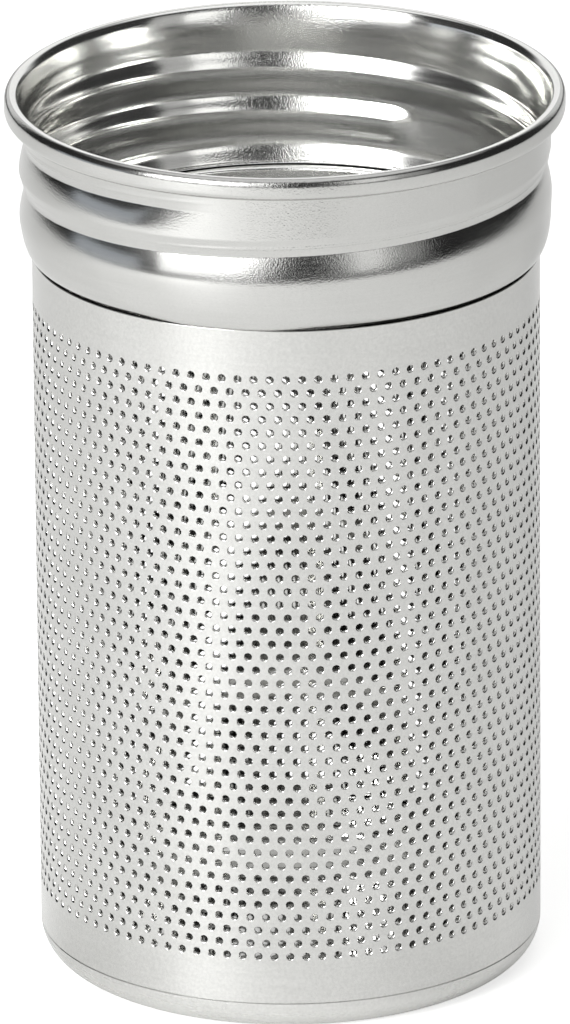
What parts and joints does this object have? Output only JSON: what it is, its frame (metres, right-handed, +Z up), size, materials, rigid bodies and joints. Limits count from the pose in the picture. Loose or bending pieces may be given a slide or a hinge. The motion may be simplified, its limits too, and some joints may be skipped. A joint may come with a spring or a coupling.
{
  "type": "tea infuser basket",
  "caption": "Perforated stainless steel tea infuser basket with a plain rounded base and a thread-rolled collar with a curled lip that screws into a flask neck.",
  "frame": {"origin": "centre of the underside of the base, on the surface the basket stands on", "axes": "+Z up along the basket's axis, front towards -Y, +X to the right seen from the front"},
  "size_m": [0.0496, 0.0494, 0.0812],
  "materials": {
    "polished_collar": "bright satin outside, polished inside",
    "brushed_wall": "fine brushed",
    "brushed_base": "satin"
  },
  "bodies": {
    "root": {"threaded_collar": "polished_collar", "perforated_wall": "brushed_wall", "base_pan": "brushed_base"}
  },
  "joints": []
}
